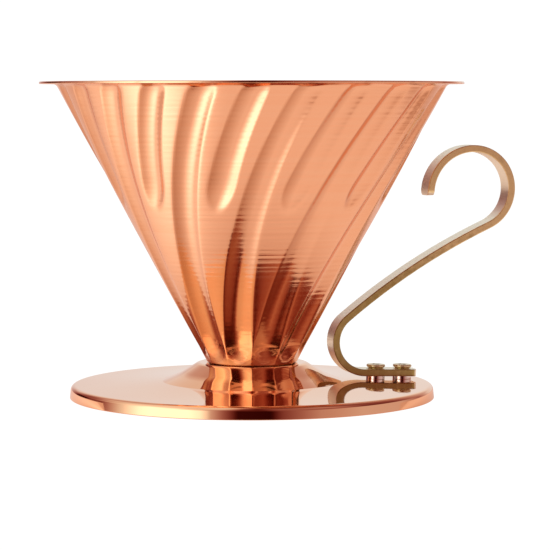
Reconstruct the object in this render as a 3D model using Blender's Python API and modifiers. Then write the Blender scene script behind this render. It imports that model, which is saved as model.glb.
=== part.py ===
"""A cone coffee dripper: a ribbed copper cone seated in a copper base plate,
with a brass strip handle screwed to the plate on two spacers.

Lengths are in metres. The cone's axis is vertical and the table is at z = 0.
The handle points along +X. Everything hangs from one empty, which is moved so
that the object's bounding box is centred on the world's origin.
"""

from math import asin, atan2, cos, hypot, pi, radians, sin, sqrt, tan

import bmesh
import bpy
from mathutils import Matrix, Vector

MM = 0.001
CLEARANCE = 0.2 * MM

# Cone
RIM_RADIUS = 60 * MM
RIM_HEIGHT = 89.5 * MM
CONE_HALF_ANGLE = radians(28.3)
CONE_WALL = 0.7 * MM
RIM_FILLET = 1.8 * MM
NECK_RADIUS = 12.6 * MM
NECK_HEIGHT = 9.5 * MM
SHOULDER_HEIGHT = 10.1 * MM
SHOULDER_CHAMFER = 0.4 * MM
SPOUT_RADIUS = 12 * MM
SPOUT_END = 3 * MM
CONE_ROWS = 11
CONE_STEPS = 120
CONE_ROW_MARGIN = 0.1 * MM

# Ribs pressed into the cone
LONG_RIBS = 12
RIB_PHASE = radians(3.4)
RIB_TWIST = radians(33)
RIB_TWIST_POWER = 1.26
RIB_DEPTH_TOP = 1.6 * MM
RIB_DEPTH_NECK = 1.2 * MM
RIB_REACH_BEHIND = 4 * MM
RIB_REACH_AHEAD = 3.5 * MM
RIB_CROWDING = 0.98
RIB_TOP = 88.6 * MM
RIB_TOP_LENGTH = 5 * MM
RIB_END_LENGTH = 8 * MM
SHORT_RIB_END = 54.5 * MM

# Base plate
PLATE_RADIUS = 51.9 * MM
PLATE_SHEET = 1.2 * MM
PLATE_DRAFT = 0.4 * MM
PLATE_EDGE_ROUND = 1.4 * MM
PLATE_EDGE_TOP = 3.55 * MM
PLATE_DISH_RADIUS = 400 * MM
PLATE_DISH_ROWS = 4
BOSS_FOOT_RADIUS = 25.5 * MM
BOSS_FOOT_TOP = 4.5 * MM
BOSS_WAIST_RADIUS = 20.6 * MM
BOSS_WAIST_HEIGHT = 6.5 * MM
BOSS_WAIST_ROUND = 14 * MM
BOSS_SHOULDER_RADIUS = 15.4 * MM
BOSS_SHOULDER_ROUND = 2.6 * MM
BOSS_TOP = 9.8 * MM
PLATE_STEPS = 80

# Retaining ring under the boss
RING_OUTER_RADIUS = 14.4 * MM
RING_HEIGHT = 1.6 * MM
RING_CHAMFER = 0.3 * MM

# Handle strip
STRIP_THICKNESS = 2 * MM
STRIP_WIDTH = 7 * MM
STRIP_CORNER = 1.6 * MM
FOOT_CENTRE = 41.1 * MM
FOOT_OUTER_LENGTH = 7.3 * MM
FOOT_LENGTH = 15.7 * MM
FOOT_GAP = 1 * MM
BEND_RADIUS = 8.9 * MM
ARM_RADIUS = 195 * MM
HOOK_RADIUS = 11.6 * MM
TIP_RADIUS = 13 * MM
ARM_START_HEADING = radians(39)
ARM_END_HEADING = radians(24.2)
TIP_HEADING = radians(272)
BEND_STEPS = 32
ARM_STEPS = 12
HOOK_STEPS = 48
TIP_STEPS = 24

# Screws, spacers and nuts
SCREW_OFFSETS = (-4.3 * MM, 3.7 * MM)
SHANK_RADIUS = 1.5 * MM
HOLE_RADIUS = 1.8 * MM
HEAD_RADIUS = 2.7 * MM
HEAD_HEIGHT = 1 * MM
SCREW_CHAMFER = 0.25 * MM
RECESS_LENGTH = 3 * MM
RECESS_WIDTH = 0.7 * MM
RECESS_DEPTH = 0.5 * MM
RECESS_TURN = radians(20)
NUT_ACROSS_FLATS = 5.5 * MM
NUT_HEIGHT = 1.6 * MM
SMALL_STEPS = 24
CUTTER_MARGIN = 1 * MM

SHARP_ANGLE = radians(35)
NEARLY_EQUAL = 0.1 * MM


def clear_scene():
    for obj in list(bpy.data.objects):
        bpy.data.objects.remove(obj, do_unlink=True)


def new_collection(name):
    collection = bpy.data.collections.new(name)
    bpy.context.scene.collection.children.link(collection)
    return collection


def metal(name, colour, roughness):
    material = bpy.data.materials.new(name)
    material.use_nodes = True
    shader = material.node_tree.nodes["Principled BSDF"]
    shader.inputs["Base Color"].default_value = (*colour, 1)
    shader.inputs["Roughness"].default_value = roughness
    shader.inputs["Metallic"].default_value = 1
    material.diffuse_color = (*colour, 1)
    return material


def place(name, mesh, collection, parent, material=None):
    obj = bpy.data.objects.new(name, mesh)
    collection.objects.link(obj)
    obj.parent = parent
    if material:
        mesh.materials.clear()
        mesh.materials.append(material)
    return obj


def as_mesh(obj, name):
    """The object's shape with its modifiers applied, as a welded mesh of its own."""
    bpy.context.view_layer.update()
    evaluated = obj.evaluated_get(bpy.context.evaluated_depsgraph_get())
    mesh = bpy.data.meshes.new_from_object(evaluated)
    mesh.name = name
    shape = bmesh.new()
    shape.from_mesh(mesh)
    bmesh.ops.remove_doubles(shape, verts=shape.verts, dist=1e-6)
    shape.to_mesh(mesh)
    shape.free()
    bpy.data.objects.remove(obj, do_unlink=True)
    return mesh


def turned(name, profile, steps, closed=False):
    """A mesh turned about Z from (radius, height) points, given top to bottom on the outside."""
    count = len(profile)
    edges = [(i, i + 1) for i in range(count - 1)]
    if closed:
        edges.append((count - 1, 0))
    outline = bpy.data.meshes.new(name)
    outline.from_pydata([(r, 0, z) for r, z in profile], edges, [])
    obj = bpy.data.objects.new(name, outline)
    bpy.context.scene.collection.objects.link(obj)
    screw = obj.modifiers.new("Turn", "SCREW")
    screw.steps = screw.render_steps = steps
    screw.use_merge_vertices = True
    screw.merge_threshold = 1e-6
    mesh = as_mesh(obj, name)
    mesh.shade_smooth()
    mesh.set_sharp_from_angle(angle=SHARP_ANGLE)
    return mesh


def arc(centre, radius, start, end, count):
    """Points on an arc, with both ends, from one angle to the other."""
    angles = [start + (end - start) * i / (count - 1) for i in range(count)]
    return [(centre[0] + radius * cos(a), centre[1] + radius * sin(a)) for a in angles]


def offset_to_left(path, distance):
    """The path moved sideways to its left, with each corner mitred."""
    moved = []
    for i, point in enumerate(path):
        before = path[max(i - 1, 0)]
        after = path[min(i + 1, len(path) - 1)]
        arriving = Vector(point) - Vector(before) if i else Vector(after) - Vector(point)
        leaving = Vector(after) - Vector(point) if after != point else arriving
        first = Vector((-arriving.y, arriving.x)).normalized()
        second = Vector((-leaving.y, leaving.x)).normalized()
        mitre = (first + second).normalized()
        moved.append(tuple(Vector(point) + mitre * distance / mitre.dot(first)))
    return moved


def cone_radius(height):
    return NECK_RADIUS + (height - NECK_HEIGHT) * tan(CONE_HALF_ANGLE)


def cone_profile():
    """The closed section of the cone's sheet: up its inside, over the rim, down its outside."""
    flange_under = RIM_HEIGHT - CONE_WALL
    corner = cone_radius(flange_under)
    reach = RIM_FILLET * tan((pi / 2 - CONE_HALF_ANGLE) / 2)
    fillet_centre = (corner + reach, flange_under - RIM_FILLET)
    lowest = SHOULDER_HEIGHT + CONE_ROW_MARGIN
    highest = flange_under - RIM_FILLET
    heights = [lowest + (highest - lowest) * i / CONE_ROWS for i in range(CONE_ROWS + 1)]
    outside = [
        (SPOUT_RADIUS, SPOUT_END),
        (SPOUT_RADIUS, SHOULDER_HEIGHT - SHOULDER_CHAMFER),
        (SPOUT_RADIUS + SHOULDER_CHAMFER, SHOULDER_HEIGHT),
    ]
    outside += [(cone_radius(height), height) for height in heights]
    outside += arc(fillet_centre, RIM_FILLET, pi - CONE_HALF_ANGLE, pi / 2, 4)
    outside.append((RIM_RADIUS, flange_under))
    inside = offset_to_left(outside, CONE_WALL)
    return inside + outside[::-1]


def rib_twist(height):
    """How far round a rib has moved at this height from where it starts at the rim."""
    share = max(0, (height - NECK_HEIGHT) / (RIB_TOP - NECK_HEIGHT))
    return -RIB_TWIST * (1 - min(share, 1) ** RIB_TWIST_POWER)


def smooth_step(value):
    share = min(max(value, 0), 1)
    return share * share * (3 - 2 * share)


def rib_share(angle, height, beyond):
    """The share of full depth in a set of ribs one pitch apart, with the first at angle 0.

    Beyond is 0 along a rib and rises to 1 at its end.
    """
    pitch = 2 * pi / LONG_RIBS
    radius = cone_radius(height)
    narrowing = min(1, RIB_CROWDING * pitch * radius / (RIB_REACH_BEHIND + RIB_REACH_AHEAD))
    lean = (RIB_REACH_AHEAD - RIB_REACH_BEHIND) / 2
    aside = (angle - pitch * round(angle / pitch)) * radius / narrowing + lean
    across = aside / (RIB_REACH_BEHIND if aside < 0 else RIB_REACH_AHEAD)
    return smooth_step(1 - hypot(across, beyond))


def rib_depth(angle, height):
    """The depth pressed in at an angle measured along the twisted ribs."""
    above = max(0, 1 + (height - RIB_TOP) / RIB_TOP_LENGTH)
    below = 1 + (SHORT_RIB_END - height) / RIB_END_LENGTH
    share = max(
        rib_share(angle, height, above),
        rib_share(angle - pi / LONG_RIBS, height, max(above, below)),
    )
    rise = (height - NECK_HEIGHT) / (RIB_TOP - NECK_HEIGHT)
    depth = RIB_DEPTH_NECK + (RIB_DEPTH_TOP - RIB_DEPTH_NECK) * rise
    return min(depth * share, cone_radius(height) - SPOUT_RADIUS - CLEARANCE)


def make_cone(collection, parent):
    """Each column of points follows one rib line round and down, and each rib is pressed in."""
    mesh = turned("cone", cone_profile(), CONE_STEPS, closed=True)
    for vertex in mesh.vertices:
        x, y, height = vertex.co
        angle = atan2(y, x)
        radius = hypot(x, y)
        if height > SHOULDER_HEIGHT:
            radius -= rib_depth(angle, height)
        angle += RIB_PHASE + rib_twist(height)
        vertex.co = (radius * cos(angle), radius * sin(angle), height)
    place("cone", mesh, collection, parent, metal("satin_copper", (0.86, 0.42, 0.26), 0.2))


def dish_centre():
    """Where the arc of the plate's shallow dish is struck from, as (radius, height)."""
    inner = Vector((BOSS_FOOT_RADIUS, BOSS_FOOT_TOP))
    outer = Vector((PLATE_RADIUS - PLATE_DRAFT, PLATE_EDGE_TOP))
    half = (outer - inner) / 2
    upward = Vector((-half.y, half.x)).normalized()
    return inner + half + upward * sqrt(PLATE_DISH_RADIUS**2 - half.length_squared)


def dish_height(radius):
    """The height of the plate's upper face at this distance from the axis."""
    centre = dish_centre()
    return centre.y - sqrt(PLATE_DISH_RADIUS**2 - (radius - centre.x) ** 2)


def plate_tilt():
    """How far the plate falls outwards under the middle of the handle's foot."""
    return asin((dish_centre().x - FOOT_CENTRE) / PLATE_DISH_RADIUS)


def rounded(corners, steps):
    """A path through (x, y, radius) corners, each with a radius rounded by an arc."""
    points = [Vector(corner[:2]) for corner in corners]
    path = []
    for i, (x, y, radius) in enumerate(corners):
        if not radius:
            path.append((x, y))
            continue
        to_last = (points[i - 1] - points[i]).normalized()
        to_next = (points[i + 1] - points[i]).normalized()
        half = to_last.angle(to_next) / 2
        centre = points[i] + (to_last + to_next).normalized() * radius / sin(half)
        start = points[i] + to_last * radius / tan(half) - centre
        sweep = pi - 2 * half
        if to_last.cross(to_next) > 0:
            sweep = -sweep
        begin = atan2(start.y, start.x)
        path += arc(centre, radius, begin, begin + sweep, steps + 1)
    return path


def plate_top():
    """The plate's upper face, from the lip of its boss out to the edge."""
    edge_corner = PLATE_RADIUS - PLATE_DRAFT
    boss = [
        (SPOUT_RADIUS + 2 * CLEARANCE, BOSS_TOP, 0),
        (BOSS_SHOULDER_RADIUS, BOSS_TOP, BOSS_SHOULDER_ROUND),
        (BOSS_WAIST_RADIUS, BOSS_WAIST_HEIGHT, BOSS_WAIST_ROUND),
        (BOSS_FOOT_RADIUS, BOSS_FOOT_TOP, 0),
    ]
    dish = []
    for i in range(1, PLATE_DISH_ROWS):
        radius = BOSS_FOOT_RADIUS + (edge_corner - BOSS_FOOT_RADIUS) * i / PLATE_DISH_ROWS
        dish.append((radius, dish_height(radius), 0))
    edge = [(edge_corner, PLATE_EDGE_TOP, PLATE_EDGE_ROUND), (PLATE_RADIUS, 0, 0)]
    return rounded(boss + dish + edge, 3)


def make_plate(collection, cutters, parent, foot):
    top = plate_top()
    under = offset_to_left(top, -PLATE_SHEET)
    under[-1] = (under[-1][0], 0)
    mesh = turned("base_plate", top + under[::-1], PLATE_STEPS, closed=True)
    material = metal("polished_copper", (0.86, 0.42, 0.26), 0.04)
    plate = place("base_plate", mesh, collection, parent, material)
    for index, offset in enumerate(SCREW_OFFSETS):
        bottom = -PLATE_SHEET - CUTTER_MARGIN
        cutter = cylinder("plate_hole_cutter_%d" % index, HOLE_RADIUS, bottom, CUTTER_MARGIN)
        cut(plate, place_cutter(cutter, cutters, foot, offset))


def cylinder(name, radius, bottom, top, sides=SMALL_STEPS):
    shape = bmesh.new()
    lift = Matrix.Translation((0, 0, (bottom + top) / 2))
    bmesh.ops.create_cone(
        shape,
        cap_ends=True,
        segments=sides,
        radius1=radius,
        radius2=radius,
        depth=top - bottom,
        matrix=lift,
    )
    mesh = bpy.data.meshes.new(name)
    shape.to_mesh(mesh)
    shape.free()
    return mesh


def box(name, length, width, bottom, top):
    shape = bmesh.new()
    size = Matrix.Diagonal((length, width, top - bottom, 1))
    lift = Matrix.Translation((0, 0, (bottom + top) / 2))
    bmesh.ops.create_cube(shape, size=1, matrix=lift @ size)
    mesh = bpy.data.meshes.new(name)
    shape.to_mesh(mesh)
    shape.free()
    return mesh


def place_cutter(mesh, cutters, parent, offset):
    cutter = place(mesh.name, mesh, cutters, parent)
    cutter.location.x = offset
    cutter.hide_render = True
    cutter.display_type = "WIRE"
    return cutter


def cut(obj, cutter):
    boolean = obj.modifiers.new("Cut", "BOOLEAN")
    boolean.operation = "DIFFERENCE"
    boolean.solver = "EXACT"
    boolean.object = cutter


def make_ring(collection, parent):
    """The ring under the boss that holds the spout down in it."""
    top = BOSS_TOP - PLATE_SHEET - CLEARANCE
    inner = SPOUT_RADIUS + CLEARANCE
    section = [
        (inner, top),
        (RING_OUTER_RADIUS - RING_CHAMFER, top),
        (RING_OUTER_RADIUS, top - RING_CHAMFER),
        (RING_OUTER_RADIUS, top - RING_HEIGHT),
        (inner, top - RING_HEIGHT),
    ]
    mesh = turned("retaining_ring", section, SMALL_STEPS * 2, closed=True)
    material = metal("dark_copper", (0.7, 0.34, 0.22), 0.3)
    place("retaining_ring", mesh, collection, parent, material)


def strip_route():
    """(point, heading) along the strip's middle, from the foot's free end to the hook's tip."""
    tilt = plate_tilt()
    runs = [
        (BEND_RADIUS, pi - tilt, ARM_START_HEADING, BEND_STEPS),
        (ARM_RADIUS, ARM_START_HEADING, ARM_END_HEADING, ARM_STEPS),
        (HOOK_RADIUS, ARM_END_HEADING, pi, HOOK_STEPS),
        (TIP_RADIUS, pi, TIP_HEADING, TIP_STEPS),
    ]
    start = Vector((FOOT_OUTER_LENGTH, FOOT_GAP + STRIP_THICKNESS / 2))
    point = start - Vector((FOOT_LENGTH, 0))
    route = [(start, pi), (point, pi)]
    for radius, begin, end, steps in runs:
        turn = 1 if end > begin else -1
        begin += tilt
        end += tilt
        centre = point + Vector((-sin(begin), cos(begin))) * radius * turn
        for i in range(1, steps + 1):
            heading = begin + (end - begin) * i / steps
            point = centre + Vector((sin(heading), -cos(heading))) * radius * turn
            route.append((point, heading))
    return route


def strip_outline():
    route = strip_route()
    left = [point + Vector((-sin(h), cos(h))) * STRIP_THICKNESS / 2 for point, h in route]
    right = [point - Vector((-sin(h), cos(h))) * STRIP_THICKNESS / 2 for point, h in route]
    return left + right[::-1]


def strip_mesh():
    """The strip's side view as a flat curve, extruded to the strip's width and stood upright."""
    curve = bpy.data.curves.new("handle_outline", "CURVE")
    curve.dimensions = "2D"
    curve.fill_mode = "BOTH"
    curve.extrude = STRIP_WIDTH / 2
    outline = strip_outline()
    spline = curve.splines.new("POLY")
    spline.points.add(len(outline) - 1)
    for spline_point, point in zip(spline.points, outline):
        spline_point.co = (point.x, point.y, 0, 1)
    spline.use_cyclic_u = True
    obj = bpy.data.objects.new("handle_outline", curve)
    bpy.context.scene.collection.objects.link(obj)
    mesh = as_mesh(obj, "handle")
    mesh.transform(Matrix.Rotation(pi / 2, 4, "X"))
    return mesh


def round_strip_ends(mesh):
    """Rounds the corners of the strip's two free ends, as seen looking at its broad face."""
    route = strip_route()
    shape = bmesh.new()
    shape.from_mesh(mesh)
    corners = []
    for point, _ in (route[0], route[-1]):
        end = Vector((point.x, 0, point.y))
        reach = hypot(STRIP_WIDTH / 2, STRIP_THICKNESS / 2) + NEARLY_EQUAL
        near = {v for v in shape.verts if (v.co - end).length < reach}
        corners += [
            edge
            for edge in shape.edges
            if set(edge.verts) <= near
            and abs(edge.verts[0].co.y - edge.verts[1].co.y) < NEARLY_EQUAL
            and abs(edge.calc_length() - STRIP_THICKNESS) < NEARLY_EQUAL
        ]
    bmesh.ops.bevel(
        shape,
        geom=corners,
        offset=STRIP_CORNER,
        segments=4,
        profile=0.5,
        affect="EDGES",
        clamp_overlap=True,
    )
    shape.to_mesh(mesh)
    shape.free()


def make_handle(collection, cutters, foot):
    mesh = strip_mesh()
    round_strip_ends(mesh)
    mesh.shade_smooth()
    mesh.set_sharp_from_angle(angle=SHARP_ANGLE)
    material = metal("brass", (0.62, 0.44, 0.2), 0.22)
    handle = place("handle", mesh, collection, foot, material)
    for index, offset in enumerate(SCREW_OFFSETS):
        top = FOOT_GAP + STRIP_THICKNESS + CUTTER_MARGIN
        cutter = cylinder("foot_hole_cutter_%d" % index, HOLE_RADIUS, 0, top)
        cut(handle, place_cutter(cutter, cutters, foot, offset))


def screw_mesh(name):
    """A low head, wider above than below, and a plain shank down through the nut."""
    under = FOOT_GAP + STRIP_THICKNESS + CLEARANCE
    tip = -PLATE_SHEET - CLEARANCE - NUT_HEIGHT - CLEARANCE
    profile = [
        (0, under + HEAD_HEIGHT),
        (HEAD_RADIUS - SCREW_CHAMFER, under + HEAD_HEIGHT),
        (HEAD_RADIUS, under + HEAD_HEIGHT - SCREW_CHAMFER),
        (HEAD_RADIUS, under + HEAD_HEIGHT / 2),
        (HEAD_RADIUS - 2 * SCREW_CHAMFER, under),
        (SHANK_RADIUS, under),
        (SHANK_RADIUS, tip + SCREW_CHAMFER),
        (SHANK_RADIUS - SCREW_CHAMFER, tip),
        (0, tip),
    ]
    return turned(name, profile, SMALL_STEPS)


def make_screws(collection, cutters, foot):
    material = metal("screw_brass", (0.6, 0.45, 0.24), 0.25)
    top = FOOT_GAP + STRIP_THICKNESS + CLEARANCE + HEAD_HEIGHT
    for index, offset in enumerate(SCREW_OFFSETS):
        name = "screw_%d" % (index + 1)
        screw = place(name, screw_mesh(name), collection, foot, material)
        screw.location.x = offset
        for turn in (0, 1):
            name = "recess_cutter_%d_%d" % (index, turn)
            bottom = top - RECESS_DEPTH
            mesh = box(name, RECESS_LENGTH, RECESS_WIDTH, bottom, top + CUTTER_MARGIN)
            cutter = place_cutter(mesh, cutters, foot, offset)
            cutter.rotation_euler.z = turn * pi / 2 + RECESS_TURN
            cut(screw, cutter)


def make_spacers(collection, foot):
    material = metal("spacer_steel", (0.62, 0.56, 0.5), 0.15)
    for index, offset in enumerate(SCREW_OFFSETS):
        name = "spacer_%d" % (index + 1)
        section = [
            (HOLE_RADIUS, FOOT_GAP - CLEARANCE),
            (HEAD_RADIUS, FOOT_GAP - CLEARANCE),
            (HEAD_RADIUS, CLEARANCE),
            (HOLE_RADIUS, CLEARANCE),
        ]
        mesh = turned(name, section, SMALL_STEPS, closed=True)
        place(name, mesh, collection, foot, material).location.x = offset


def make_nuts(collection, cutters, foot):
    material = metal("nut_brass", (0.6, 0.45, 0.24), 0.3)
    top = -PLATE_SHEET - CLEARANCE
    corner_radius = NUT_ACROSS_FLATS / 2 / cos(pi / 6)
    for index, offset in enumerate(SCREW_OFFSETS):
        name = "nut_%d" % (index + 1)
        mesh = cylinder(name, corner_radius, top - NUT_HEIGHT, top, sides=6)
        nut = place(name, mesh, collection, foot, material)
        nut.location.x = offset
        bottom = top - NUT_HEIGHT - CUTTER_MARGIN
        bore = cylinder("nut_bore_cutter_%d" % index, HOLE_RADIUS, bottom, top + CUTTER_MARGIN)
        cut(nut, place_cutter(bore, cutters, foot, offset))


def handle_reach():
    """How far the handle's outermost face stands from the cone's axis."""
    tilt = Matrix.Rotation(-plate_tilt(), 2)
    return FOOT_CENTRE + max((tilt @ point).x for point in strip_outline())


def main():
    clear_scene()
    parts = new_collection("pour_over_dripper")
    cutters = new_collection("cutters")

    axis = bpy.data.objects.new("cone_axis", None)
    parts.objects.link(axis)
    axis.location.x = (RIM_RADIUS - handle_reach()) / 2

    foot = bpy.data.objects.new("handle_foot", None)
    parts.objects.link(foot)
    foot.parent = axis
    foot.location = (FOOT_CENTRE, 0, dish_height(FOOT_CENTRE))
    foot.rotation_euler.y = plate_tilt()

    make_cone(parts, axis)
    make_plate(parts, cutters, axis, foot)
    make_ring(parts, axis)
    make_handle(parts, cutters, foot)
    make_screws(parts, cutters, foot)
    make_spacers(parts, foot)
    make_nuts(parts, cutters, foot)


main()
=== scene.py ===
"""The copper pour-over dripper in a plain studio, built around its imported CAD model.

Lengths are in metres. Each piece is modelled about the cone's axis, or about the
handle's foot, and stands where the CAD node that it replaces stands.
"""

from math import asin, atan2, cos, hypot, pi, radians, sin, sqrt, tan

import bmesh
import bpy
import numpy as np
from mathutils import Matrix, Vector


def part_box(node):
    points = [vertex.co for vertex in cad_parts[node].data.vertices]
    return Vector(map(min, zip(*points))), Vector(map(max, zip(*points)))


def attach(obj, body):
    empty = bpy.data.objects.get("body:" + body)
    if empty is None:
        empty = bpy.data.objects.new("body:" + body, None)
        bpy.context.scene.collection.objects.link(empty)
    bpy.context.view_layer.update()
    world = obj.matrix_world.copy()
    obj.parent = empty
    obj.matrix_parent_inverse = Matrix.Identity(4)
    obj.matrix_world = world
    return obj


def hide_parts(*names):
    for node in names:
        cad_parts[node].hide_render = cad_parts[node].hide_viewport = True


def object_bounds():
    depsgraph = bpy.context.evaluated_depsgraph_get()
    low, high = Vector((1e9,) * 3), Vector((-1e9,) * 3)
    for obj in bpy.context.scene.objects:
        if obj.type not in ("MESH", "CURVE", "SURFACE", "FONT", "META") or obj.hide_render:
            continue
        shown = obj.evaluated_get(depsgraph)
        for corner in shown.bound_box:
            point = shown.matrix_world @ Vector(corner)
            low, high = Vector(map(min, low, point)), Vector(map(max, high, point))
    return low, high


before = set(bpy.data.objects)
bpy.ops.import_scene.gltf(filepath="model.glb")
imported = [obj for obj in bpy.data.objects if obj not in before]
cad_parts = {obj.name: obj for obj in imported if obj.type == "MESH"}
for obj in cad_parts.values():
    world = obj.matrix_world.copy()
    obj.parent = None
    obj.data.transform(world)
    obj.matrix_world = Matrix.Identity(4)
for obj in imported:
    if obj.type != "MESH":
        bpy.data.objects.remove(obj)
cad_low, cad_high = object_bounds()

MM = 0.001

# Flat margin on each side of a rounding, so that shading stays true beside it. It is a share of the
# rounding's radius, and grows no further once the radius reaches the widest held
HOLD = 0.15
WIDEST_HELD = 2 * MM

# Steps in the arc of each rounding
CONE_ROUND_STEPS = 6
PLATE_ROUND_STEPS = 10
SMALL_ROUND_STEPS = 4

cone_low, cone_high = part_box("cone")
plate_low, plate_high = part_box("base_plate")
ring_low, ring_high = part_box("retaining_ring")
AXIS = Vector(((cone_low.x + cone_high.x) / 2, 0, 0))

# Cone, from the frame where it can be
RIM_RADIUS = (cone_high.x - cone_low.x) / 2
RIM_HEIGHT = cone_high.z
SPOUT_END = cone_low.z
CONE_SLOPE = radians(28.3)
CONE_WALL = 0.7 * MM
RIM_FILLET = 1.8 * MM
RIM_EDGE_ROUNDS = (0.15 * MM, 0.3 * MM)
NECK_RADIUS = 12.6 * MM
NECK_HEIGHT = 9.5 * MM
SHOULDER_HEIGHT = 10.1 * MM
SHOULDER_ROUNDS = (0.3 * MM, 0.15 * MM)
SPOUT_RADIUS = 12 * MM
SPOUT_END_ROUND = 0.1 * MM
BORE_TOP_ROUND = 1 * MM
CONE_COLUMNS = 576
CONE_ROW_STEP = 0.9 * MM

# Ribs pressed into the cone: long ones down to the neck, with a short one between each two
LONG_RIBS = 12
RIB_PHASE = radians(3.4)
RIB_TWIST = radians(33)
RIB_TWIST_POWER = 1.26
RIB_DEPTH = 1.6 * MM
RIB_CREASE = 0.2
RIB_REACH_BEHIND = 4.0 * MM
RIB_REACH_AHEAD = 3.9 * MM
RIB_CROWDING = 0.98
RIB_TOP = 89.9 * MM
RIB_TOP_LENGTH = 4 * MM
RIB_FADE = 2 * MM
RIB_END_LENGTH = 8 * MM
SHORT_RIB_END = 54.5 * MM
RIB_RUN_OUT = 4.5 * MM
# Softness of the edge of the painted shade along one wall of each rib
PAINTED_RIB_SHADE_SOFTNESS = 0.3

# Base plate
PLATE_RADIUS = (plate_high.x - plate_low.x) / 2
BOSS_TOP = plate_high.z
PLATE_SHEET = 1.2 * MM
PLATE_DRAFT = 0.4 * MM
PLATE_EDGE_ROUND = 1.4 * MM
PLATE_EDGE_TOP = 3.55 * MM
PLATE_DISH_RADIUS = 400 * MM
PLATE_DISH_ROWS = 16
PLATE_RIM_ROUND = 0.15 * MM
BOSS_FOOT_RADIUS = 25.5 * MM
BOSS_FOOT_TOP = 4.5 * MM
BOSS_FOOT_ROUND = 1 * MM
BOSS_WAIST_RADIUS = 20.6 * MM
BOSS_WAIST_HEIGHT = 6.5 * MM
BOSS_WAIST_ROUND = 14 * MM
BOSS_SHOULDER_RADIUS = 15.4 * MM
BOSS_SHOULDER_ROUND = 2.6 * MM
BOSS_LIP_ROUND = 0.3 * MM
PLATE_COLUMNS = 384
PLATE_ROW_STEP = 1.5 * MM

# Ring under the boss
RING_ROUND = 0.3 * MM
RING_BORE_ROUND = 0.1 * MM
RING_COLUMNS = 96

# Handle strip
STRIP_THICKNESS = 2 * MM
STRIP_WIDTH = 7 * MM
STRIP_CORNER = 1.6 * MM
STRIP_CORNER_STEPS = 10
# Plain stations stay this far from the strip's ends, in corner radii
STRIP_CORNER_ROOM = 1.2
STRIP_EDGE = 0.25 * MM
STRIP_SHARP_ANGLE = radians(50)
FOOT_CENTRE = 41.1 * MM
FOOT_OUTER_LENGTH = 7.3 * MM
FOOT_LENGTH = 15.7 * MM
FOOT_GAP = 1 * MM
BEND_RADIUS = 8.9 * MM
ARM_RADIUS = 195 * MM
HOOK_RADIUS = 11.6 * MM
TIP_RADIUS = 13 * MM
ARM_START_HEADING = radians(39)
ARM_END_HEADING = radians(24.2)
TIP_HEADING = radians(272)
FOOT_STEPS = 16
BEND_STEPS = 32
ARM_STEPS = 12
HOOK_STEPS = 48
TIP_STEPS = 24

# Screws, spacers and nuts
SCREW_OFFSETS = (-4.3 * MM, 3.7 * MM)
SHANK_RADIUS = 1.5 * MM
HOLE_RADIUS = 1.8 * MM
HEAD_RADIUS = 2.7 * MM
HEAD_HEIGHT = 1 * MM
HEAD_SIDE = 0.55 * MM
HEAD_TAPER = 0.6 * MM
HEAD_TOP_ROUND = 0.3 * MM
HEAD_SIDE_ROUND = 0.1 * MM
SCREW_CORE = 0.05 * MM
SHANK_CORNER_ROUND = 0.05 * MM
SHANK_TIP_ROUND = 0.3 * MM
RECESS_LENGTH = 3 * MM
RECESS_WIDTH = 0.7 * MM
RECESS_DEPTH = 0.5 * MM
RECESS_TURN = radians(20)
SHARP_ANGLE = radians(30)
SPACER_ROUND = 0.08 * MM
NUT_ACROSS_FLATS = 5.5 * MM
NUT_HEIGHT = 1.6 * MM
NUT_ROUND = 0.1 * MM
SCREW_COLUMNS = 64
NUT_COLUMNS = 96
CLEARANCE = 0.2 * MM
HAIR_GAP = 0.01 * MM

# Looks: the two colours that a metal drifts between, and its roughness at each
SATIN_COPPER = (((0.95, 0.52, 0.3), (0.95, 0.54, 0.32)), (0.12, 0.16))
POLISHED_COPPER = (((0.95, 0.52, 0.29), (0.95, 0.54, 0.31)), (0.02, 0.04))
PLAIN_COPPER = (((0.7, 0.36, 0.22), (0.8, 0.44, 0.28)), (0.25, 0.4))
# The faces are paler than brass: a painted highlight for their bright, washed-out sheen
BRASS_FACE = (((0.9, 0.88, 0.68), (0.95, 0.93, 0.76)), (0.3, 0.4))
BRASS_EDGE = (((0.42, 0.33, 0.12), (0.92, 0.78, 0.42)), (0.32, 0.4))
# Darker than the handle's brass: painted shade for the dark undersides of the screw heads
TURNED_BRASS = (((0.66, 0.56, 0.32), (0.74, 0.64, 0.4)), (0.25, 0.35))
BRIGHT_STEEL = (((0.8, 0.74, 0.7), (0.88, 0.82, 0.78)), (0.06, 0.12))
DRIFT = (0.3, 0.7)
# Colour multiplied into the copper as painted shade along one wall of each rib
PAINTED_RIB_SHADE_TINT = (0.68, 0.55, 0.47)

# Grain: how fine the noise is along each axis, per metre
FINE_TURNING = (14, 14, 1400)
COARSE_TURNING = (14, 14, 600)
BRUSHING = (3000, 400, 3000)
GRAIN_ROUGHNESS = 0.55
BRUSHING_DETAIL = 4
TOOL_MARK_SPACING = 1.4 * MM
TOOL_MARK_WANDER = 1.2
TOOL_MARK_WANDER_SCALE = 0.6
FINE_SHARE = 0.35
TOOL_MARK_SHARE = 0.2
TURNING_RELIEF = (0.5, 0.1 * MM)
BRUSHING_RELIEF = (0.25, 0.02 * MM)

# Cloudiness of the plainer metals, in patches per metre
POLISHED_CLOUD = 60
PLAIN_CLOUD = 400
EDGE_CLOUD = 500
TURNED_CLOUD = 700
STEEL_CLOUD = 900

# Painted shade and light on the brass edge: darker near the plate and lighter towards the hook
EDGE_SHADE_HEIGHTS = (18 * MM, 58 * MM)
EDGE_SHADE_SHARES = (0.12, 0.48)
EDGE_CLOUD_SHARE = 0.4
EDGE_BLEND = (-0.05 * MM, 0.1 * MM)

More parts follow.
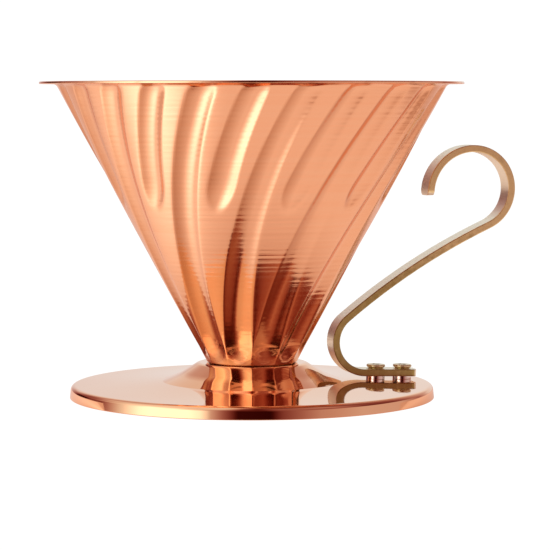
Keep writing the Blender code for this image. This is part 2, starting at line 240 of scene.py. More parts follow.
# Camera
CAMERA_AZIMUTH = radians(-14)
CAMERA_DISTANCE = 0.672
CAMERA_HEIGHT = 0.0856
AIM_RIGHT = 6.55 * MM
AIM_HEIGHT = 34.6 * MM
LENS = 154.9
SENSOR_WIDTH = 36
CLIP_NEAR = 0.01
CLIP_FAR = 100
TOWARDS_CAMERA = Vector((sin(CAMERA_AZIMUTH), -cos(CAMERA_AZIMUTH), 0))
CAMERA_RIGHT = Vector((cos(CAMERA_AZIMUTH), sin(CAMERA_AZIMUTH), 0))


# ---------------------------------------------------------------- node helpers

# A Mix node's colour inputs and its colour output, which share their names with its other sockets
MIX_FIRST, MIX_SECOND, MIX_RESULT = 6, 7, 2
# How far a Wave texture's phase moves over one unit of length, at a scale of 1
WAVE_RADIANS = 20


def new_material(name):
    material = bpy.data.materials.new(name)
    material.use_nodes = True
    nodes = material.node_tree.nodes
    return material, nodes, material.node_tree.links, nodes["Principled BSDF"]


def add(nodes, kind, **settings):
    node = nodes.new(kind)
    for key, value in settings.items():
        setattr(node, key, value)
    return node


def fill(node, **values):
    """Sets input sockets by name, with _ for a space."""
    for key, value in values.items():
        node.inputs[key.replace("_", " ")].default_value = value
    return node


def maths(nodes, links, operation, first, second):
    """A Math node over two inputs, each a socket or a number. Returns its output socket."""
    node = add(nodes, "ShaderNodeMath", operation=operation)
    for socket, value in zip(node.inputs, (first, second)):
        if isinstance(value, (int, float)):
            socket.default_value = value
        else:
            links.new(value, socket)
    return node.outputs[0]


def glide(nodes, links, value, start, end, low=0, high=1):
    """A smooth step of the value, from low at the start to high at the end."""
    node = add(nodes, "ShaderNodeMapRange", interpolation_type="SMOOTHSTEP")
    fill(node, From_Min=start, From_Max=end, To_Min=low, To_Max=high)
    links.new(value, node.inputs["Value"])
    return node.outputs["Result"]


# ---------------------------------------------------------------- mesh helpers

def mesh_object(name, mesh, material):
    mesh.materials.append(material)
    obj = bpy.data.objects.new(name, mesh)
    bpy.context.scene.collection.objects.link(obj)
    return obj


def loft(name, rings, material, cap=False):
    """Quads between rings of points. Each ring is closed; so is the run of rings unless it is capped."""
    rings = np.asarray(rings, float)
    rows, columns = rings.shape[:2]
    index = np.arange(rows * columns).reshape(rows, columns)
    lower = index[:-1] if cap else index
    upper = index[1:] if cap else np.roll(index, -1, 0)
    quads = np.stack(
        [lower, np.roll(lower, -1, 1), np.roll(upper, -1, 1), upper], -1
    ).reshape(-1, 4)
    faces = quads.tolist()
    if cap:
        faces += [index[0][::-1].tolist(), index[-1].tolist()]
    mesh = bpy.data.meshes.new(name)
    mesh.from_pydata(rings.reshape(-1, 3).tolist(), [], faces)
    mesh.shade_smooth()
    return mesh_object(name, mesh, material)


def rounded(corners, steps):
    """A closed path through (x, y, radius) corners, each rounded by an arc of its own radius."""
    path = []
    points = [Vector(corner[:2]) for corner in corners]
    for i, (point, corner) in enumerate(zip(points, corners)):
        radius = corner[2]
        if not radius:
            path.append(point)
            continue
        to_last = (points[i - 1] - point).normalized()
        to_next = (points[(i + 1) % len(points)] - point).normalized()
        half = to_last.angle(to_next) / 2
        centre = point + (to_last + to_next).normalized() * radius / sin(half)
        start = point + to_last * radius / tan(half) - centre
        sweep = pi - 2 * half
        if to_last.cross(to_next) > 0:
            sweep = -sweep
        hold = min(radius, WIDEST_HELD) * HOLD
        path.append(centre + start + to_last * hold)
        for step in range(steps + 1):
            turn = sweep * step / steps
            path.append(centre + Vector((
                start.x * cos(turn) - start.y * sin(turn),
                start.x * sin(turn) + start.y * cos(turn),
            )))
        path.append(path[-1] + to_next * hold)
    return path


def spaced(path, step_length):
    """The closed path with points added, about one step apart where the points were further."""
    dense = []
    for i, point in enumerate(path):
        dense.append(point)
        after = path[(i + 1) % len(path)]
        count = max(1, round((after - point).length / step_length))
        dense += [point.lerp(after, step / count) for step in range(1, count)]
    return dense


def offset(path, distance):
    """The path moved sideways to its left, with each corner mitred."""
    moved = []
    for i, point in enumerate(path):
        before = path[max(i - 1, 0)]
        after = path[min(i + 1, len(path) - 1)]
        arriving = point - before if i else after - point
        leaving = after - point if i < len(path) - 1 else arriving
        first = Vector((-arriving.y, arriving.x)).normalized()
        second = Vector((-leaving.y, leaving.x)).normalized()
        mitre = (first + second).normalized()
        moved.append(point + mitre * distance / mitre.dot(first))
    return moved


def lathe_rings(profile, columns):
    """One ring of points round the axis for each (radius, height) point."""
    angles = np.arange(columns) * 2 * pi / columns
    profile = np.array([tuple(point) for point in profile])
    radii = profile[:, :1]
    heights = np.repeat(profile[:, 1:], columns, 1)
    return np.stack([radii * np.cos(angles), radii * np.sin(angles), heights], -1)


# ------------------------------------------------------------------- materials

def grain(nodes, links, squeeze, scale=1, detail=2):
    """Noise in object space, squeezed along each axis. Returns its value socket."""
    place = add(nodes, "ShaderNodeTexCoord")
    squeezed = fill(add(nodes, "ShaderNodeMapping"), Scale=squeeze)
    links.new(place.outputs["Object"], squeezed.inputs["Vector"])
    noise = add(nodes, "ShaderNodeTexNoise")
    fill(noise, Scale=scale, Detail=detail, Roughness=GRAIN_ROUGHNESS)
    links.new(squeezed.outputs["Vector"], noise.inputs["Vector"])
    return noise.outputs["Fac"]


def cloud(nodes, links, scale):
    return grain(nodes, links, (1, 1, 1), scale)


def rings_of_tool_marks(nodes, links, spacing):
    """A wave up the height, a little uneven."""
    place = add(nodes, "ShaderNodeTexCoord")
    wave = add(nodes, "ShaderNodeTexWave", bands_direction="Z")
    fill(wave, Scale=2 * pi / WAVE_RADIANS / spacing, Distortion=TOOL_MARK_WANDER, Detail=2)
    fill(wave, Detail_Scale=TOOL_MARK_WANDER_SCALE)
    links.new(place.outputs["Object"], wave.inputs["Vector"])
    return wave.outputs["Fac"]


def vary(nodes, links, shader, value, look):
    """Base colour and roughness that drift between a look's two ends as the value rises."""
    colours, roughness = look
    share = glide(nodes, links, value, *DRIFT)
    paint = add(nodes, "ShaderNodeMix", data_type="RGBA")
    links.new(share, paint.inputs["Factor"])
    for socket, colour in zip((MIX_FIRST, MIX_SECOND), colours):
        paint.inputs[socket].default_value = (*colour, 1)
    links.new(paint.outputs[MIX_RESULT], shader.inputs["Base Color"])
    polish = add(nodes, "ShaderNodeMapRange")
    fill(polish, To_Min=roughness[0], To_Max=roughness[1])
    links.new(share, polish.inputs["Value"])
    links.new(polish.outputs["Result"], shader.inputs["Roughness"])
    return paint.outputs[MIX_RESULT]


def emboss(nodes, links, shader, height, relief):
    strength, depth = relief
    bump = fill(add(nodes, "ShaderNodeBump"), Strength=strength, Distance=depth)
    links.new(height, bump.inputs["Height"])
    links.new(bump.outputs["Normal"], shader.inputs["Normal"])


def satin_copper():
    """Turned finish with tool marks, and painted shade along one side of each rib."""
    material, nodes, links, shader = new_material("satin_copper")
    fill(shader, Metallic=1)
    fine = grain(nodes, links, FINE_TURNING)
    paint = vary(nodes, links, shader, fine, SATIN_COPPER)
    # Painted shade: the copper is darkened along one wall of each rib
    rib_shade_attribute = add(nodes, "ShaderNodeAttribute", attribute_name="painted_rib_shade")
    darken = add(nodes, "ShaderNodeMix", data_type="RGBA", blend_type="MULTIPLY")
    links.new(rib_shade_attribute.outputs["Fac"], darken.inputs["Factor"])
    links.new(paint, darken.inputs[MIX_FIRST])
    darken.inputs[MIX_SECOND].default_value = (*PAINTED_RIB_SHADE_TINT, 1)
    links.new(darken.outputs[MIX_RESULT], shader.inputs["Base Color"])
    coarse = grain(nodes, links, COARSE_TURNING)
    marks = rings_of_tool_marks(nodes, links, TOOL_MARK_SPACING)
    uneven = maths(nodes, links, "ADD", coarse, maths(nodes, links, "MULTIPLY", fine, FINE_SHARE))
    height = maths(nodes, links, "ADD", uneven, maths(nodes, links, "MULTIPLY", marks, TOOL_MARK_SHARE))
    emboss(nodes, links, shader, height, TURNING_RELIEF)
    return material


def clouded_metal(name, scale, look):
    material, nodes, links, shader = new_material(name)
    fill(shader, Metallic=1)
    vary(nodes, links, shader, cloud(nodes, links, scale), look)
    return material


def polished_copper():
    return clouded_metal("polished_copper", POLISHED_CLOUD, POLISHED_COPPER)


def plain_copper():
    return clouded_metal("plain_copper", PLAIN_CLOUD, PLAIN_COPPER)


def turned_brass():
    return clouded_metal("turned_brass", TURNED_CLOUD, TURNED_BRASS)


def bright_steel():
    return clouded_metal("bright_steel", STEEL_CLOUD, BRIGHT_STEEL)


def satin_brass():
    """Brushed faces painted pale as a painted highlight, and plainer, yellower sawn edges with painted
    shade near the plate and painted light towards the hook.
    """
    material, nodes, links, shader = new_material("satin_brass")
    fill(shader, Metallic=1)
    brushed = grain(nodes, links, BRUSHING, detail=BRUSHING_DETAIL)
    vary(nodes, links, shader, brushed, BRASS_FACE)
    emboss(nodes, links, shader, brushed, BRUSHING_RELIEF)
    edge = fill(add(nodes, "ShaderNodeBsdfPrincipled"), Metallic=1)
    place = add(nodes, "ShaderNodeTexCoord")
    split = add(nodes, "ShaderNodeSeparateXYZ")
    links.new(place.outputs["Object"], split.inputs["Vector"])
    patches = maths(nodes, links, "MULTIPLY", cloud(nodes, links, EDGE_CLOUD), EDGE_CLOUD_SHARE)
    # Painted shade low down near the plate, and painted light higher up towards the hook
    rise = glide(nodes, links, split.outputs["Z"], *EDGE_SHADE_HEIGHTS, *EDGE_SHADE_SHARES)
    vary(nodes, links, edge, maths(nodes, links, "ADD", patches, rise), BRASS_EDGE)
    aside = maths(nodes, links, "ABSOLUTE", split.outputs["Y"], 0)
    face_ends = STRIP_WIDTH / 2 - STRIP_EDGE
    on_edge = glide(nodes, links, aside, face_ends + EDGE_BLEND[0], face_ends + EDGE_BLEND[1])
    choose = add(nodes, "ShaderNodeMixShader")
    links.new(on_edge, choose.inputs["Fac"])
    links.new(shader.outputs["BSDF"], choose.inputs[1])
    links.new(edge.outputs["BSDF"], choose.inputs[2])
    links.new(choose.outputs[0], nodes["Material Output"].inputs["Surface"])
    return material


# ------------------------------------------------------------------------ cone

def cone_radius(height):
    return NECK_RADIUS + (height - NECK_HEIGHT) * tan(CONE_SLOPE)


def cone_section():
    """The closed section of the cone's sheet."""
    flange_under = RIM_HEIGHT - CONE_WALL
    bore = SPOUT_RADIUS - CONE_WALL
    across = CONE_WALL / cos(CONE_SLOPE)
    bore_top = NECK_HEIGHT + (bore + across - NECK_RADIUS) / tan(CONE_SLOPE)
    corners = [
        (bore, SPOUT_END, SPOUT_END_ROUND),
        (SPOUT_RADIUS, SPOUT_END, SPOUT_END_ROUND),
        (SPOUT_RADIUS, SHOULDER_HEIGHT, SHOULDER_ROUNDS[0]),
        (cone_radius(SHOULDER_HEIGHT), SHOULDER_HEIGHT, SHOULDER_ROUNDS[1]),
        (cone_radius(flange_under), flange_under, RIM_FILLET),
        (RIM_RADIUS, flange_under, RIM_EDGE_ROUNDS[0]),
        (RIM_RADIUS, RIM_HEIGHT, RIM_EDGE_ROUNDS[1]),
        (cone_radius(RIM_HEIGHT) - across, RIM_HEIGHT, RIM_FILLET + CONE_WALL),
        (bore, bore_top, BORE_TOP_ROUND),
    ]
    return spaced(rounded(corners, CONE_ROUND_STEPS), CONE_ROW_STEP)


def rib_shape(angle, height):
    """The depth pressed in at an angle measured along the twisted ribs, and the painted shade there."""
    radius = cone_radius(height)
    pitch = 2 * pi / LONG_RIBS
    narrowing = np.minimum(1, RIB_CROWDING * pitch * radius / (RIB_REACH_BEHIND + RIB_REACH_AHEAD))
    lean = (RIB_REACH_AHEAD - RIB_REACH_BEHIND) / 2
    above = np.maximum(1 + (height - RIB_TOP) / RIB_TOP_LENGTH, 0)
    below = 1 + (SHORT_RIB_END - height) / RIB_END_LENGTH
    share = 0
    painted_rib_shade = 0
    for phase, beyond in ((0, above), (pitch / 2, np.maximum(above, below))):
        turned = angle - phase
        aside = (turned - pitch * np.round(turned / pitch)) * radius / narrowing + lean
        across = aside / np.where(aside < 0, RIB_REACH_BEHIND, RIB_REACH_AHEAD)
        room = 1 - across**2 - beyond**2
        share = np.maximum(share, (room + np.sqrt(room**2 + RIB_CREASE**2)) / 2)
        # Painted shade, strongest at the outer edge of the wall behind each rib
        inside = np.clip(room / PAINTED_RIB_SHADE_SOFTNESS + 0.5, 0, 1)
        painted_rib_shade = np.maximum(painted_rib_shade, inside * np.clip(-across, 0, 1))
    run_out = np.clip((height - SHOULDER_HEIGHT) / RIB_RUN_OUT, 0, 1)
    return RIB_DEPTH * share * run_out, painted_rib_shade * run_out


def make_cone(material):
    rings = lathe_rings(cone_section(), CONE_COLUMNS)
    angle = np.arctan2(rings[..., 1], rings[..., 0])
    radius = np.hypot(rings[..., 0], rings[..., 1])
    height = rings[..., 2]
    pressed, painted_rib_shade = rib_shape(angle, height)
    radius = radius - pressed * np.clip(1 - (radius - cone_radius(height)) / RIB_FADE, 0, 1)
    share = np.clip((height - NECK_HEIGHT) / (RIB_TOP - NECK_HEIGHT), 0, 1)
    angle = angle + RIB_PHASE - RIB_TWIST * (1 - share**RIB_TWIST_POWER)
    rings = np.stack([radius * np.cos(angle), radius * np.sin(angle), height], -1)
    cone = loft("copper_cone", rings, material)
    # The painted shade is kept on the mesh for the material to read
    marks = cone.data.attributes.new("painted_rib_shade", "FLOAT", "POINT")
    marks.data.foreach_set("value", painted_rib_shade.ravel())
    cone.location = AXIS
    return cone


# ----------------------------------------------------------------------- plate

def dish_centre():
    """Where the arc of the plate's shallow dish is struck from, as (radius, height)."""
    inner = Vector((BOSS_FOOT_RADIUS, BOSS_FOOT_TOP))
    outer = Vector((PLATE_RADIUS - PLATE_DRAFT, PLATE_EDGE_TOP))
    half = (outer - inner) / 2
    upward = Vector((-half.y, half.x)).normalized()
    return inner + half + upward * sqrt(PLATE_DISH_RADIUS**2 - half.length_squared)


def dish_height(radius):
    centre = dish_centre()
    return centre.y - sqrt(PLATE_DISH_RADIUS**2 - (radius - centre.x) ** 2)


def plate_tilt():
    """How far the plate falls outwards under the middle of the handle's foot."""
    return asin((dish_centre().x - FOOT_CENTRE) / PLATE_DISH_RADIUS)


def plate_corners():
    """(radius, height, rounding on top, rounding below), from the boss's lip out to the edge."""
    edge_corner = PLATE_RADIUS - PLATE_DRAFT
    corners = [
        (SPOUT_RADIUS + 2 * CLEARANCE, BOSS_TOP, BOSS_LIP_ROUND, BOSS_LIP_ROUND),
        (BOSS_SHOULDER_RADIUS, BOSS_TOP, BOSS_SHOULDER_ROUND, BOSS_SHOULDER_ROUND - PLATE_SHEET),
        (BOSS_WAIST_RADIUS, BOSS_WAIST_HEIGHT, BOSS_WAIST_ROUND, BOSS_WAIST_ROUND + PLATE_SHEET),
        (BOSS_FOOT_RADIUS, BOSS_FOOT_TOP, BOSS_FOOT_ROUND, BOSS_FOOT_ROUND + PLATE_SHEET),
    ]
    for i in range(1, PLATE_DISH_ROWS):
        radius = BOSS_FOOT_RADIUS + (edge_corner - BOSS_FOOT_RADIUS) * i / PLATE_DISH_ROWS
        corners.append((radius, dish_height(radius), 0, 0))
    corners.append((edge_corner, PLATE_EDGE_TOP, PLATE_EDGE_ROUND, PLATE_EDGE_ROUND - PLATE_SHEET))
    corners.append((PLATE_RADIUS, 0, PLATE_RIM_ROUND, PLATE_RIM_ROUND))
    return corners


def make_plate(material):
    corners = plate_corners()
    below = offset([Vector(corner[:2]) for corner in corners], -PLATE_SHEET)
    below[-1].y = 0
    top = [(radius, height, above) for radius, height, above, _ in corners]
    under = [(point.x, point.y, corner[3]) for point, corner in zip(below, corners)]
    section = spaced(rounded(top + under[::-1], PLATE_ROUND_STEPS), PLATE_ROW_STEP)
    plate = loft("copper_base_plate", lathe_rings(section, PLATE_COLUMNS), material)
    plate.location = AXIS
    return plate


# --------------------------------------------------------- small turned pieces

def turned_piece(name, section, columns, material):
    """A closed section of (radius, height, rounding) corners, turned about Z."""
    path = rounded(section, SMALL_ROUND_STEPS)
    return loft(name, lathe_rings(path, columns), material)


def make_ring(material):
    inner = SPOUT_RADIUS + CLEARANCE
    outer = (ring_high.x - ring_low.x) / 2
    section = [
        (inner, ring_high.z, RING_BORE_ROUND),
        (outer, ring_high.z, RING_ROUND),
        (outer, ring_low.z, RING_ROUND),
        (inner, ring_low.z, RING_BORE_ROUND),
    ]
    ring = turned_piece("spout_ring", section, RING_COLUMNS, material)
    ring.location = AXIS
    return ring


# ---------------------------------------------------------------------- handle

def stand_on_foot(piece, x):
    """Tilts a piece with the plate and sets it this far out along the foot."""
    foot = Matrix.Translation(AXIS + Vector((FOOT_CENTRE, 0, dish_height(FOOT_CENTRE))))
    tilt = Matrix.Rotation(plate_tilt(), 4, "Y")
    piece.data.transform(foot @ tilt @ Matrix.Translation((x, 0, 0)))
    return piece


def strip_route():
    """(point, heading) along the strip's middle, from the foot's free end to the hook's tip."""
    tilt = plate_tilt()
    runs = [
        (BEND_RADIUS, pi - tilt, ARM_START_HEADING, BEND_STEPS),
        (ARM_RADIUS, ARM_START_HEADING, ARM_END_HEADING, ARM_STEPS),
        (HOOK_RADIUS, ARM_END_HEADING, pi, HOOK_STEPS),
        (TIP_RADIUS, pi, TIP_HEADING, TIP_STEPS),
    ]
    start = Vector((FOOT_OUTER_LENGTH, FOOT_GAP + STRIP_THICKNESS / 2))
    inward = Vector((-FOOT_LENGTH / FOOT_STEPS, 0))
    route = [(start + inward * i, pi) for i in range(FOOT_STEPS + 1)]
    point = route[-1][0]
    for radius, begin, end, steps in runs:
        turn = 1 if end > begin else -1
        begin += tilt
        end += tilt
        centre = point + Vector((-sin(begin), cos(begin))) * radius * turn
        for i in range(1, steps + 1):
            heading = begin + (end - begin) * i / steps
            point = centre + Vector((sin(heading), -cos(heading))) * radius * turn
            route.append((point, heading))
    return route


def with_end_rows(route):
    """Extra stations close to both free ends, where the strip's corners are rounded."""
    first, heading = route[0]
    last, last_heading = route[-1]
    along = Vector((cos(heading), sin(heading)))
    turns = [pi / 2 * i / STRIP_CORNER_STEPS for i in range(1, STRIP_CORNER_STEPS + 1)]
    steps = [STRIP_CORNER * (1 - cos(turn)) for turn in turns]
    opening = [(first + along * step, heading) for step in steps]
    centre = last - Vector((sin(last_heading), -cos(last_heading))) * TIP_RADIUS
    closing = []
    for step in reversed(steps):
        turned = last_heading - step / TIP_RADIUS
        closing.append((centre + Vector((sin(turned), -cos(turned))) * TIP_RADIUS, turned))
    clear = STRIP_CORNER_ROOM * STRIP_CORNER
    middle = [
        (point, heading)
        for point, heading in route
        if (point - first).length > clear and (point - last).length > clear
    ]
    return [route[0]] + opening + middle + closing + [route[-1]]


def strip_section(half_width):
    """A rounded rectangle across the strip: (across, through) points."""
    half_thick = STRIP_THICKNESS / 2
    corners = [
        (half_width, half_thick, STRIP_EDGE),
        (-half_width, half_thick, STRIP_EDGE),
        (-half_width, -half_thick, STRIP_EDGE),
        (half_width, -half_thick, STRIP_EDGE),
    ]
    return rounded(corners, SMALL_ROUND_STEPS)


def make_handle(material):
    route = with_end_rows(strip_route())
    travelled = [0]
    for (before, _), (after, _) in zip(route, route[1:]):
        travelled.append(travelled[-1] + (after - before).length)
    rings = []
    for (point, heading), distance in zip(route, travelled):
        to_end = min(distance, travelled[-1] - distance)
        inset = 0
        if to_end < STRIP_CORNER:
            inset = STRIP_CORNER - sqrt(STRIP_CORNER**2 - (STRIP_CORNER - to_end) ** 2)
        normal = Vector((-sin(heading), cos(heading)))
        ring = []
        for across, through in strip_section(STRIP_WIDTH / 2 - inset):
            spot = point + normal * through
            ring.append((spot.x, across, spot.y))
        rings.append(ring)
    handle = loft("brass_handle", rings, material, cap=True)
    handle.data.set_sharp_from_angle(angle=STRIP_SHARP_ANGLE)
    return stand_on_foot(handle, 0)


# ---------------------------------------------------------- screws, spacers, nuts

def recess_cutter(top):
    """A cross-shaped prism that reaches down into a screw's head from above it."""
    long, half = RECESS_LENGTH / 2, RECESS_WIDTH / 2
    outline = []
    for turn in range(4):
        spin = turn * pi / 2 + RECESS_TURN
        for x, y in ((long, -half), (long, half), (half, half)):
            outline.append((x * cos(spin) - y * sin(spin), x * sin(spin) + y * cos(spin)))
    count = len(outline)
    points = [(x, y, height) for height in (top - RECESS_DEPTH, top + MM) for x, y in outline]
    faces = [[i, (i + 1) % count, count + (i + 1) % count, count + i] for i in range(count)]
    faces += [list(range(count))[::-1], list(range(count, 2 * count))]
    mesh = bpy.data.meshes.new("recess_cutter")
    mesh.from_pydata(points, [], faces)
    cutter = bpy.data.objects.new("recess_cutter", mesh)
    bpy.context.scene.collection.objects.link(cutter)
    return cutter


def cut_recess(screw, top):
    """Cuts the cross recess into a screw's head."""
    cutter = recess_cutter(top)
    cut = screw.modifiers.new("recess", "BOOLEAN")
    cut.operation = "DIFFERENCE"
    cut.solver = "EXACT"
    cut.object = cutter
    bpy.context.view_layer.update()
    carved = bpy.data.meshes.new_from_object(screw.evaluated_get(bpy.context.evaluated_depsgraph_get()))
    screw.modifiers.clear()
    screw.data = carved
    bpy.data.objects.remove(cutter, do_unlink=True)
    carved.shade_smooth()
    carved.set_sharp_from_angle(angle=SHARP_ANGLE)


def make_screw(name, x, material):
    under = FOOT_GAP + STRIP_THICKNESS
    top = under + CLEARANCE + HEAD_HEIGHT
    tip = -PLATE_SHEET - NUT_HEIGHT - 2 * CLEARANCE
    section = [
        (SCREW_CORE, top, 0),
        (HEAD_RADIUS, top, HEAD_TOP_ROUND),
        (HEAD_RADIUS, top - HEAD_SIDE, HEAD_SIDE_ROUND),
        (HEAD_RADIUS - HEAD_TAPER, under, SHANK_CORNER_ROUND),
        (SHANK_RADIUS, under, SHANK_CORNER_ROUND),
        (SHANK_RADIUS, tip, SHANK_TIP_ROUND),
        (SCREW_CORE, tip, 0),
    ]
    screw = turned_piece(name, section, SCREW_COLUMNS, material)
    cut_recess(screw, top)
    return stand_on_foot(screw, x)


def make_spacer(name, x, material):
    section = [
        (HOLE_RADIUS, FOOT_GAP, 0),
        (HEAD_RADIUS, FOOT_GAP, SPACER_ROUND),
        (HEAD_RADIUS, HAIR_GAP, SPACER_ROUND),
        (HOLE_RADIUS, HAIR_GAP, 0),
    ]
    spacer = turned_piece(name, section, SCREW_COLUMNS, material)
    return stand_on_foot(spacer, x)


def make_nut(name, x, material):
    """Turned at the width across its corners, then pressed in to six flats."""
    top = -PLATE_SHEET - HAIR_GAP
    corner = NUT_ACROSS_FLATS / 2 / cos(pi / 6)
    section = [
        (SHANK_RADIUS, top, NUT_ROUND),
        (corner, top, NUT_ROUND),
        (corner, top - NUT_HEIGHT, NUT_ROUND),
        (SHANK_RADIUS, top - NUT_HEIGHT, NUT_ROUND),
    ]
    nut = turned_piece(name, section, NUT_COLUMNS, material)
    for vertex in nut.data.vertices:
        radius = hypot(vertex.co.x, vertex.co.y)
        flat = (atan2(vertex.co.y, vertex.co.x) + pi / 6) % (pi / 3) - pi / 6
        limit = NUT_ACROSS_FLATS / 2 / cos(flat)
        if radius > limit:
            vertex.co.x *= limit / radius
            vertex.co.y *= limit / radius
    nut.data.set_sharp_from_angle(angle=SHARP_ANGLE)
    return stand_on_foot(nut, x)


# ---------------------------------------------------------------------- studio

# Brightness by the angle round the object, in degrees: 0 towards the camera, -90 to its left.
# The floor far from the object has its own, and the world has three, from the horizon upwards
HORIZON = (
    (-180, 0.85), (-168, 0.75), (-152, 0.4), (-142, 0.04), (-129, 0.04), (-123, 0.22), (-108, 0.25),
    (-88, 0.9), (-74, 1.8), (-66, 2.0), (-40, 2.0), (-32, 1.6), (-26, 0.7), (-18, 0.35), (-9, 0.04),
    (12, 0.03), (19, 0.22), (43, 0.55), (72, 0.68), (108, 0.66), (130, 0.36), (150, 0.8), (180, 0.85),
)
FAR_FLOOR = (
    (-180, 0.85), (-140, 0.8), (-110, 0.75), (-88, 0.9), (-74, 1.8), (-66, 2.0), (-40, 2.0),
    (-32, 1.6), (-26, 0.7), (-18, 0.35), (-9, 0.12), (12, 0.12), (19, 0.25), (43, 0.55), (72, 0.68),
    (108, 0.7), (130, 0.65), (150, 0.8), (180, 0.85),
)
LOW_WALLS = (
    (-180, 0.85), (-165, 0.8), (-150, 0.45), (-140, 0.25), (-122, 0.35), (-110, 0.6), (-95, 0.85),
    (-80, 1.3), (-70, 1.9), (-50, 1.7), (-42, 1.2), (-30, 0.75), (-18, 0.35), (-9, 0.1), (8, 0.08),
    (18, 0.25), (30, 0.35), (50, 0.3), (65, 0.35), (80, 0.15), (105, 0.18), (125, 0.4), (150, 0.65),
    (168, 0.9), (180, 0.85),
)
HIGH_WALLS = (
    (-180, 0.5), (-165, 0.8), (-148, 0.55), (-135, 0.6), (-122, 0.8), (-110, 0.75), (-95, 1.0),
    (-70, 1.05), (-50, 0.9), (-22, 0.8), (-8, 0.2), (4, 0.1), (20, 0.3), (60, 0.5), (75, 0.35),
    (95, 0.22), (120, 0.3), (140, 0.5), (160, 0.6), (180, 0.5),
)
# The rise of a direction, as the sine of its elevation, over which one band of light passes into the next
LOW_WALLS_RISE = (0.19, 0.28)
HIGH_WALLS_RISE = (0.4, 0.65)
OVERHEAD_RISE = (0.85, 0.95)
OVERHEAD_SPREAD = (-0.2, 0.1)
OVERHEAD_LEFT = 0.9
OVERHEAD_RIGHT = 0.1
# Lighter and darker pools on the floor near the object: right, away and reach in millimetres, and gain
FLOOR_POOLS = (
    (-150, -115, 130, 1.3),
    (-90, -30, 80, 0.35),
    (-180, 30, 110, 0.2),
    (80, 110, 75, -0.45),
    (215, 60, 60, -0.3),
    (225, -70, 70, -0.35),
    (0, 0, 90, -0.5),
)
FLOOR_LEVEL_NEAR = 0.93
FLOOR_LEVEL_FURTHER = 0.78
# Distances from the axis over which the near floor dims, and over which it gives way to the far floor
NEAR_FLOOR_FADES = (0.1, 0.28)
FAR_FLOOR_STARTS = (0.18, 0.34)
FLOOR_RADIUS = 8
FLOOR_SIDES = 96
FLOOR_DROP = 0.02 * MM
WHITE_LEVEL = 1.05
# The level from which light is neutral, and its green and blue shares where it is dimmest
FLOOR_TINT = (1.6, 0.42, 0.24)
WORLD_TINT = (0.85, 0.05, 0.03)


def blend(nodes, links, share, first, second):
    node = add(nodes, "ShaderNodeMix", data_type="FLOAT")
    links.new(share, node.inputs["Factor"])
    links.new(first, node.inputs["A"])
    links.new(second, node.inputs["B"])
    return node.outputs["Result"]


def facing_camera(nodes, links, socket):
    """The vector turned so that X is to the camera's right and Y away from it."""
    turn = add(nodes, "ShaderNodeVectorRotate", rotation_type="Z_AXIS")
    turn.inputs["Angle"].default_value = -CAMERA_AZIMUTH
    links.new(socket, turn.inputs["Vector"])
    return turn.outputs["Vector"]


def round_the_studio(nodes, links, vector):
    """The vector's share of a turn and its height.

    The share is 0 straight behind the object, 0.25 to the camera's left, 0.5 at the camera.
    """
    split = add(nodes, "ShaderNodeSeparateXYZ")
    links.new(vector, split.inputs["Vector"])
    nearer = maths(nodes, links, "MULTIPLY", split.outputs["Y"], -1)
    angle = maths(nodes, links, "ARCTAN2", split.outputs["X"], nearer)
    share = maths(nodes, links, "DIVIDE", angle, 2 * pi)
    return maths(nodes, links, "ADD", share, 0.5), split.outputs["Z"]


def level_round(nodes, links, share, stops):
    """Brightness from (degrees, level) stops. The ramp holds half of each level, and this doubles it."""
    node = add(nodes, "ShaderNodeValToRGB")
    elements = node.color_ramp.elements
    while len(elements) < len(stops):
        elements.new(1)
    for element, (angle, level) in zip(elements, stops):
        element.position = (angle + 180) / 360
        element.color = (level / 2, level / 2, level / 2, 1)
    links.new(share, node.inputs["Fac"])
    return maths(nodes, links, "MULTIPLY", node.outputs["Color"], 2)


def near_floor_level(nodes, links, place, distance):
    total = glide(nodes, links, distance, *NEAR_FLOOR_FADES, FLOOR_LEVEL_NEAR, FLOOR_LEVEL_FURTHER)
    for right, away, reach, gain in FLOOR_POOLS:
        gap = add(nodes, "ShaderNodeVectorMath", operation="DISTANCE")
        links.new(place, gap.inputs[0])
        gap.inputs[1].default_value = (right * MM, away * MM, 0)
        pool = glide(nodes, links, gap.outputs["Value"], 0, reach * MM, gain, 0)
        total = maths(nodes, links, "ADD", pool, total)
    return total


def light_colour(nodes, links, level, tint):
    """Neutral from one level upwards, and warmer where it is dimmer."""
    neutral, dim_green, dim_blue = tint
    colour = add(nodes, "ShaderNodeCombineColor")
    links.new(level, colour.inputs["Red"])
    for channel, dim in (("Green", dim_green), ("Blue", dim_blue)):
        share = add(nodes, "ShaderNodeMapRange")
        fill(share, From_Min=0, From_Max=neutral, To_Min=dim, To_Max=1)
        links.new(level, share.inputs["Value"])
        links.new(maths(nodes, links, "MULTIPLY", level, share.outputs["Result"]), colour.inputs[channel])
    return colour.outputs["Color"]


def white_to_camera(nodes, links, shine, white, surface):
    """Plain white where the camera looks, and the shaped light in reflections."""
    seen = add(nodes, "ShaderNodeLightPath")
    choose = add(nodes, "ShaderNodeMixShader")
    links.new(seen.outputs["Is Camera Ray"], choose.inputs["Fac"])
    links.new(shine, choose.inputs[1])
    links.new(white, choose.inputs[2])
    links.new(choose.outputs[0], surface)


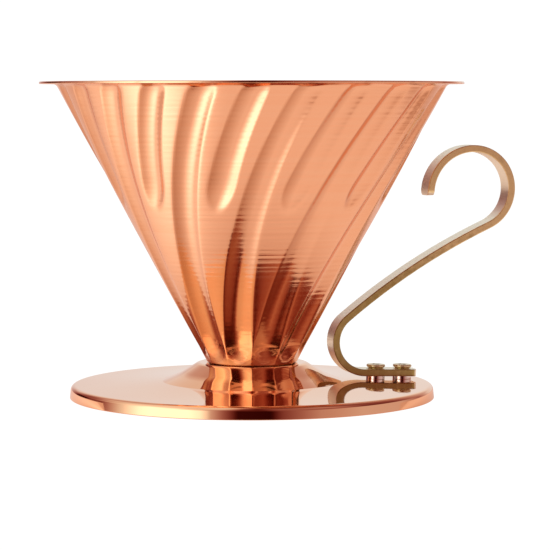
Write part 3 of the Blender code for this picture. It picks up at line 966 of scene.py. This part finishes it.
def make_floor():
    material, nodes, links, shader = new_material("studio_floor")
    nodes.remove(shader)
    coords = add(nodes, "ShaderNodeTexCoord")
    place = facing_camera(nodes, links, coords.outputs["Object"])
    share, _ = round_the_studio(nodes, links, place)
    length = add(nodes, "ShaderNodeVectorMath", operation="LENGTH")
    links.new(place, length.inputs[0])
    distance = length.outputs["Value"]
    near = near_floor_level(nodes, links, place, distance)
    far = level_round(nodes, links, share, FAR_FLOOR)
    level = blend(nodes, links, glide(nodes, links, distance, *FAR_FLOOR_STARTS), near, far)
    shine = fill(add(nodes, "ShaderNodeEmission"), Strength=1)
    links.new(light_colour(nodes, links, level, FLOOR_TINT), shine.inputs["Color"])
    white = fill(add(nodes, "ShaderNodeEmission"), Strength=WHITE_LEVEL)
    surface = nodes["Material Output"].inputs["Surface"]
    white_to_camera(nodes, links, shine.outputs[0], white.outputs[0], surface)
    shape = bmesh.new()
    bmesh.ops.create_circle(shape, cap_ends=True, radius=FLOOR_RADIUS, segments=FLOOR_SIDES)
    mesh = bpy.data.meshes.new("studio_floor")
    shape.to_mesh(mesh)
    shape.free()
    floor = mesh_object("studio_floor", mesh, material)
    floor.location = AXIS + Vector((0, 0, cad_low.z - FLOOR_DROP))


def make_world():
    world = bpy.data.worlds.new("studio")
    bpy.context.scene.world = world
    world.use_nodes = True
    nodes, links = world.node_tree.nodes, world.node_tree.links
    coords = add(nodes, "ShaderNodeTexCoord")
    direction = facing_camera(nodes, links, coords.outputs["Generated"])
    share, height = round_the_studio(nodes, links, direction)
    level = level_round(nodes, links, share, HORIZON)
    for stops, rise in ((LOW_WALLS, LOW_WALLS_RISE), (HIGH_WALLS, HIGH_WALLS_RISE)):
        higher = level_round(nodes, links, share, stops)
        level = blend(nodes, links, glide(nodes, links, height, *rise), level, higher)
    sides = add(nodes, "ShaderNodeSeparateXYZ")
    links.new(direction, sides.inputs["Vector"])
    overhead = glide(nodes, links, sides.outputs["X"], *OVERHEAD_SPREAD, OVERHEAD_LEFT, OVERHEAD_RIGHT)
    level = blend(nodes, links, glide(nodes, links, height, *OVERHEAD_RISE), level, overhead)
    surround = nodes["Background"]
    links.new(light_colour(nodes, links, level, WORLD_TINT), surround.inputs["Color"])
    white = fill(add(nodes, "ShaderNodeBackground"), Color=(1, 1, 1, 1), Strength=WHITE_LEVEL)
    surface = nodes["World Output"].inputs["Surface"]
    white_to_camera(nodes, links, surround.outputs[0], white.outputs[0], surface)


def make_camera():
    data = bpy.data.cameras.new("camera")
    data.lens = LENS
    data.sensor_width = SENSOR_WIDTH
    data.clip_start = CLIP_NEAR
    data.clip_end = CLIP_FAR
    camera = bpy.data.objects.new("camera", data)
    bpy.context.scene.collection.objects.link(camera)
    camera.location = AXIS + TOWARDS_CAMERA * CAMERA_DISTANCE + Vector((0, 0, CAMERA_HEIGHT))
    aim = AXIS + CAMERA_RIGHT * AIM_RIGHT + Vector((0, 0, AIM_HEIGHT))
    camera.rotation_mode = "QUATERNION"
    camera.rotation_quaternion = (aim - camera.location).to_track_quat("-Z", "Y")
    bpy.context.scene.camera = camera


# ----------------------------------------------------------------------- build

def stand_for(piece, node):
    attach(piece, "root")
    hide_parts(node)


stand_for(make_cone(satin_copper()), "cone")
stand_for(make_plate(polished_copper()), "base_plate")
stand_for(make_ring(plain_copper()), "retaining_ring")
stand_for(make_handle(satin_brass()), "handle")
steel = bright_steel()
screw_brass = turned_brass()
for number, place in enumerate(SCREW_OFFSETS, 1):
    stand_for(make_screw("screw_head_%d" % number, place, screw_brass), "screw_%d" % number)
    stand_for(make_spacer("foot_spacer_%d" % number, place, steel), "spacer_%d" % number)
    stand_for(make_nut("plate_nut_%d" % number, place, screw_brass), "nut_%d" % number)

make_floor()
make_world()
make_camera()
bpy.context.scene.view_settings.view_transform = "Standard"
